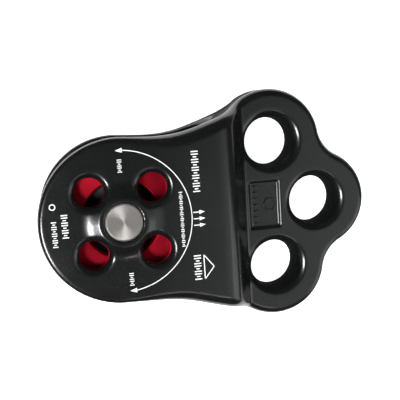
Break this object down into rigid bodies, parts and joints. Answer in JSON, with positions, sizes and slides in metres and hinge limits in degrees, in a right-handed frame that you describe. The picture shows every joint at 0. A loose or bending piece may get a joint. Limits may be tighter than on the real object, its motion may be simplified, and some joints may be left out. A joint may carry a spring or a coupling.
{
  "type": "rope pulley",
  "caption": "Single rope pulley with a one-piece body, a ball-bearing sheave between fixed cheeks and attachment eyes in a lobed plate.",
  "frame": {"origin": "on the axle's axis, at the rear face of the axle pin, which is the lowest point of the part", "axes": "+X from the axle towards the attachment eyes, +Z along the axle towards the front cheek, +Y across"},
  "size_m": [0.1111, 0.0774, 0.031],
  "materials": {
    "body": "glossy black anodised forging",
    "sheave": "satin red anodised, turned",
    "axle": "turned stainless steel",
    "bearing_steel": "ground bearing steel",
    "spring_steel": "blackened spring steel",
    "seal": "matt black nitrile rubber"
  },
  "bodies": {
    "frame": {"body": "body", "axle_pin": "axle", "spacer_front": "axle", "spacer_rear": "axle", "bearing_inner_ring": "bearing_steel"},
    "sheave": {"sheave": "sheave", "sheave_snap_ring": "spring_steel", "bearing_outer_ring": "bearing_steel", "bearing_seal_front": "seal", "bearing_seal_rear": "seal"},
    "cage": {"bearing_cage_front": "bearing_steel", "bearing_cage_rear": "bearing_steel", "bearing_rivet_1": "bearing_steel", "bearing_rivet_2": "bearing_steel", "bearing_rivet_3": "bearing_steel", "bearing_rivet_4": "bearing_steel", "bearing_rivet_5": "bearing_steel", "bearing_rivet_6": "bearing_steel", "bearing_rivet_7": "bearing_steel", "bearing_rivet_8": "bearing_steel"},
    "ball_1": {"bearing_ball_1": "bearing_steel"},
    "ball_2": {"bearing_ball_2": "bearing_steel"},
    "ball_3": {"bearing_ball_3": "bearing_steel"},
    "ball_4": {"bearing_ball_4": "bearing_steel"},
    "ball_5": {"bearing_ball_5": "bearing_steel"},
    "ball_6": {"bearing_ball_6": "bearing_steel"},
    "ball_7": {"bearing_ball_7": "bearing_steel"},
    "ball_8": {"bearing_ball_8": "bearing_steel"}
  },
  "joints": [
    {"name": "sheave_spin", "type": "hinge", "parent": "frame", "child": "sheave", "pos_m": [0, 0, 0.0155], "axis": [0, 0, 1], "continuous": true},
    {"name": "cage_spin", "type": "hinge", "parent": "frame", "child": "cage", "pos_m": [0, 0, 0.0155], "axis": [0, 0, 1], "continuous": true},
    {"name": "ball_1_spin", "type": "hinge", "parent": "cage", "child": "ball_1", "pos_m": [0.01, 0, 0.0155], "axis": [0, 0, 1], "continuous": true},
    {"name": "ball_2_spin", "type": "hinge", "parent": "cage", "child": "ball_2", "pos_m": [0.00707, 0.00707, 0.0155], "axis": [0, 0, 1], "continuous": true},
    {"name": "ball_3_spin", "type": "hinge", "parent": "cage", "child": "ball_3", "pos_m": [0, 0.01, 0.0155], "axis": [0, 0, 1], "continuous": true},
    {"name": "ball_4_spin", "type": "hinge", "parent": "cage", "child": "ball_4", "pos_m": [-0.00707, 0.00707, 0.0155], "axis": [0, 0, 1], "continuous": true},
    {"name": "ball_5_spin", "type": "hinge", "parent": "cage", "child": "ball_5", "pos_m": [-0.01, 0, 0.0155], "axis": [0, 0, 1], "continuous": true},
    {"name": "ball_6_spin", "type": "hinge", "parent": "cage", "child": "ball_6", "pos_m": [-0.00707, -0.00707, 0.0155], "axis": [0, 0, 1], "continuous": true},
    {"name": "ball_7_spin", "type": "hinge", "parent": "cage", "child": "ball_7", "pos_m": [0, -0.01, 0.0155], "axis": [0, 0, 1], "continuous": true},
    {"name": "ball_8_spin", "type": "hinge", "parent": "cage", "child": "ball_8", "pos_m": [0.00707, -0.00707, 0.0155], "axis": [0, 0, 1], "continuous": true}
  ],
  "couplings": [
    {"joint": "cage_spin", "follows": "sheave_spin", "ratio": 0.619},
    {"joint": "ball_1_spin", "follows": "sheave_spin", "ratio": 1.981},
    {"joint": "ball_2_spin", "follows": "sheave_spin", "ratio": 1.981},
    {"joint": "ball_3_spin", "follows": "sheave_spin", "ratio": 1.981},
    {"joint": "ball_4_spin", "follows": "sheave_spin", "ratio": 1.981},
    {"joint": "ball_5_spin", "follows": "sheave_spin", "ratio": 1.981},
    {"joint": "ball_6_spin", "follows": "sheave_spin", "ratio": 1.981},
    {"joint": "ball_7_spin", "follows": "sheave_spin", "ratio": 1.981},
    {"joint": "ball_8_spin", "follows": "sheave_spin", "ratio": 1.981}
  ]
}
